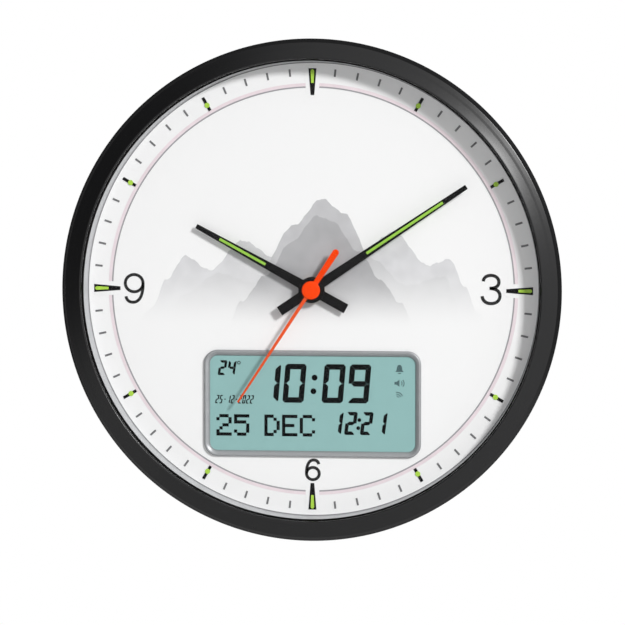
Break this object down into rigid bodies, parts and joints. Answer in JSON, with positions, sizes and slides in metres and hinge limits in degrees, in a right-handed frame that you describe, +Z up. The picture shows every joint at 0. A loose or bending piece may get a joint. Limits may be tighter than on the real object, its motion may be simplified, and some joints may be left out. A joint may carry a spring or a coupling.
{
  "type": "wall clock",
  "caption": "Round wall clock with three hands on a geared quartz movement, a raised black rim, a silver inner ring and a framed liquid-crystal display below the hands.",
  "frame": {"origin": "on the wall, behind the shaft of the hands", "axes": "-Y out of the dial towards the viewer, +X to the viewer's right, +Z up"},
  "size_m": [0.32, 0.0458, 0.32],
  "materials": {
    "black_gloss": "polished moulded plastic",
    "clear_glass": "flat clear glass",
    "silver_plastic": "silver satin paint",
    "white_card": "white with printed marks",
    "black_satin": "fine moulded grain",
    "steel": "zinc plated",
    "white_plastic": "natural acetal",
    "rubber": "soft rubber",
    "brass": "turned",
    "copper": "enamelled copper wire",
    "board_green": "solder mask",
    "cell_wrap": "plain printed wrap",
    "lume_green": "luminous paint",
    "orange_red": "satin paint",
    "display_film": "liquid-crystal glass with polariser",
    "grey_rubber": "satin"
  },
  "bodies": {
    "clock": {"front_bezel": "black_gloss", "lens": "clear_glass", "inner_ring": "silver_plastic", "dial_plate": "white_card", "hour_markers": "black_satin", "rear_case": "black_satin", "hanger_plate": "steel", "movement_case": "black_satin", "movement_front_plate": "black_satin", "middle_plate": "white_plastic", "rubber_washer": "rubber", "fixing_nut": "brass", "stator": "steel", "coil_core": "steel", "coil_bobbin": "white_plastic", "coil_winding": "copper", "movement_board": "board_green", "crystal": "steel", "movement_contacts": "steel", "movement_cell": "cell_wrap", "display_frame": "silver_plastic", "display_glass": "display_film", "light_guide": "white_plastic", "rubber_strips": "rubber", "display_tray": "white_plastic", "main_board": "board_green", "chips": "black_satin", "switch_body": "steel", "speaker": "black_satin", "speaker_magnet": "steel", "display_cells": "cell_wrap", "display_contacts": "steel"},
    "minute_works": {"minute_hand": "black_satin", "minute_hand_lume": "lume_green", "minute_arbor": "white_plastic"},
    "hour_works": {"hour_hand": "black_satin", "hour_hand_lume": "lume_green", "hour_wheel": "white_plastic"},
    "setting_works": {"set_wheel": "white_plastic", "set_knob": "white_plastic"},
    "second_works": {"second_hand": "orange_red", "second_wheel": "white_plastic"},
    "step_gear": {"step_wheel": "white_plastic"},
    "motor_rotor": {"rotor": "white_plastic"},
    "third_gear": {"third_wheel": "white_plastic"},
    "centre_gear": {"centre_wheel": "white_plastic"},
    "key_set": {"set_key": "grey_rubber"},
    "key_mode": {"mode_key": "grey_rubber"},
    "key_up": {"up_key": "grey_rubber"},
    "key_down": {"down_key": "grey_rubber"},
    "key_alarm": {"alarm_key": "grey_rubber"},
    "switch": {"switch_slider": "grey_rubber"},
    "door": {"battery_door": "black_satin"}
  },
  "joints": [
    {"name": "minute_turn", "type": "hinge", "parent": "clock", "child": "minute_works", "pos_m": [0, -0.02, 0], "axis": [0, 1, 0], "continuous": true},
    {"name": "hour_turn", "type": "hinge", "parent": "clock", "child": "hour_works", "pos_m": [0, -0.02, 0], "axis": [0, 1, 0], "continuous": true},
    {"name": "second_turn", "type": "hinge", "parent": "clock", "child": "second_works", "pos_m": [0, -0.02, 0], "axis": [0, 1, 0], "continuous": true},
    {"name": "centre_turn", "type": "hinge", "parent": "clock", "child": "centre_gear", "pos_m": [0, -0.02, 0], "axis": [0, 1, 0], "continuous": true},
    {"name": "setting_turn", "type": "hinge", "parent": "clock", "child": "setting_works", "pos_m": [0.00978, -0.02, -0.00208], "axis": [0, 1, 0], "continuous": true},
    {"name": "step_turn", "type": "hinge", "parent": "clock", "child": "step_gear", "pos_m": [-0.00655, -0.02, 0.00378], "axis": [0, 1, 0], "continuous": true},
    {"name": "rotor_turn", "type": "hinge", "parent": "clock", "child": "motor_rotor", "pos_m": [-0.012, -0.02, 0.00693], "axis": [0, 1, 0], "continuous": true},
    {"name": "third_turn", "type": "hinge", "parent": "clock", "child": "third_gear", "pos_m": [0.00314, -0.02, 0.00863], "axis": [0, 1, 0], "continuous": true},
    {"name": "set_press", "type": "slide", "parent": "clock", "child": "key_set", "axis": [0, -1, 0], "range_m": [0, 0.001], "stiffness_N_per_m": 600, "springref_m": -0.0003},
    {"name": "mode_press", "type": "slide", "parent": "clock", "child": "key_mode", "axis": [0, -1, 0], "range_m": [0, 0.001], "stiffness_N_per_m": 600, "springref_m": -0.0003},
    {"name": "up_press", "type": "slide", "parent": "clock", "child": "key_up", "axis": [0, -1, 0], "range_m": [0, 0.001], "stiffness_N_per_m": 600, "springref_m": -0.0003},
    {"name": "down_press", "type": "slide", "parent": "clock", "child": "key_down", "axis": [0, -1, 0], "range_m": [0, 0.001], "stiffness_N_per_m": 600, "springref_m": -0.0003},
    {"name": "alarm_press", "type": "slide", "parent": "clock", "child": "key_alarm", "axis": [0, -1, 0], "range_m": [0, 0.001], "stiffness_N_per_m": 600, "springref_m": -0.0003},
    {"name": "switch_slide", "type": "slide", "parent": "clock", "child": "switch", "axis": [1, 0, 0], "range_m": [0, 0.004]},
    {"name": "door_slide", "type": "slide", "parent": "clock", "child": "door", "axis": [0, 0, -1], "range_m": [0, 0.007]}
  ],
  "couplings": [
    {"joint": "hour_turn", "follows": "minute_turn", "ratio": 0.083333},
    {"joint": "setting_turn", "follows": "minute_turn", "ratio": -0.33333},
    {"joint": "step_turn", "follows": "second_turn", "ratio": -5},
    {"joint": "rotor_turn", "follows": "second_turn", "ratio": 30},
    {"joint": "third_turn", "follows": "second_turn", "ratio": -0.13333},
    {"joint": "centre_turn", "follows": "second_turn", "ratio": 0.016667}
  ]
}
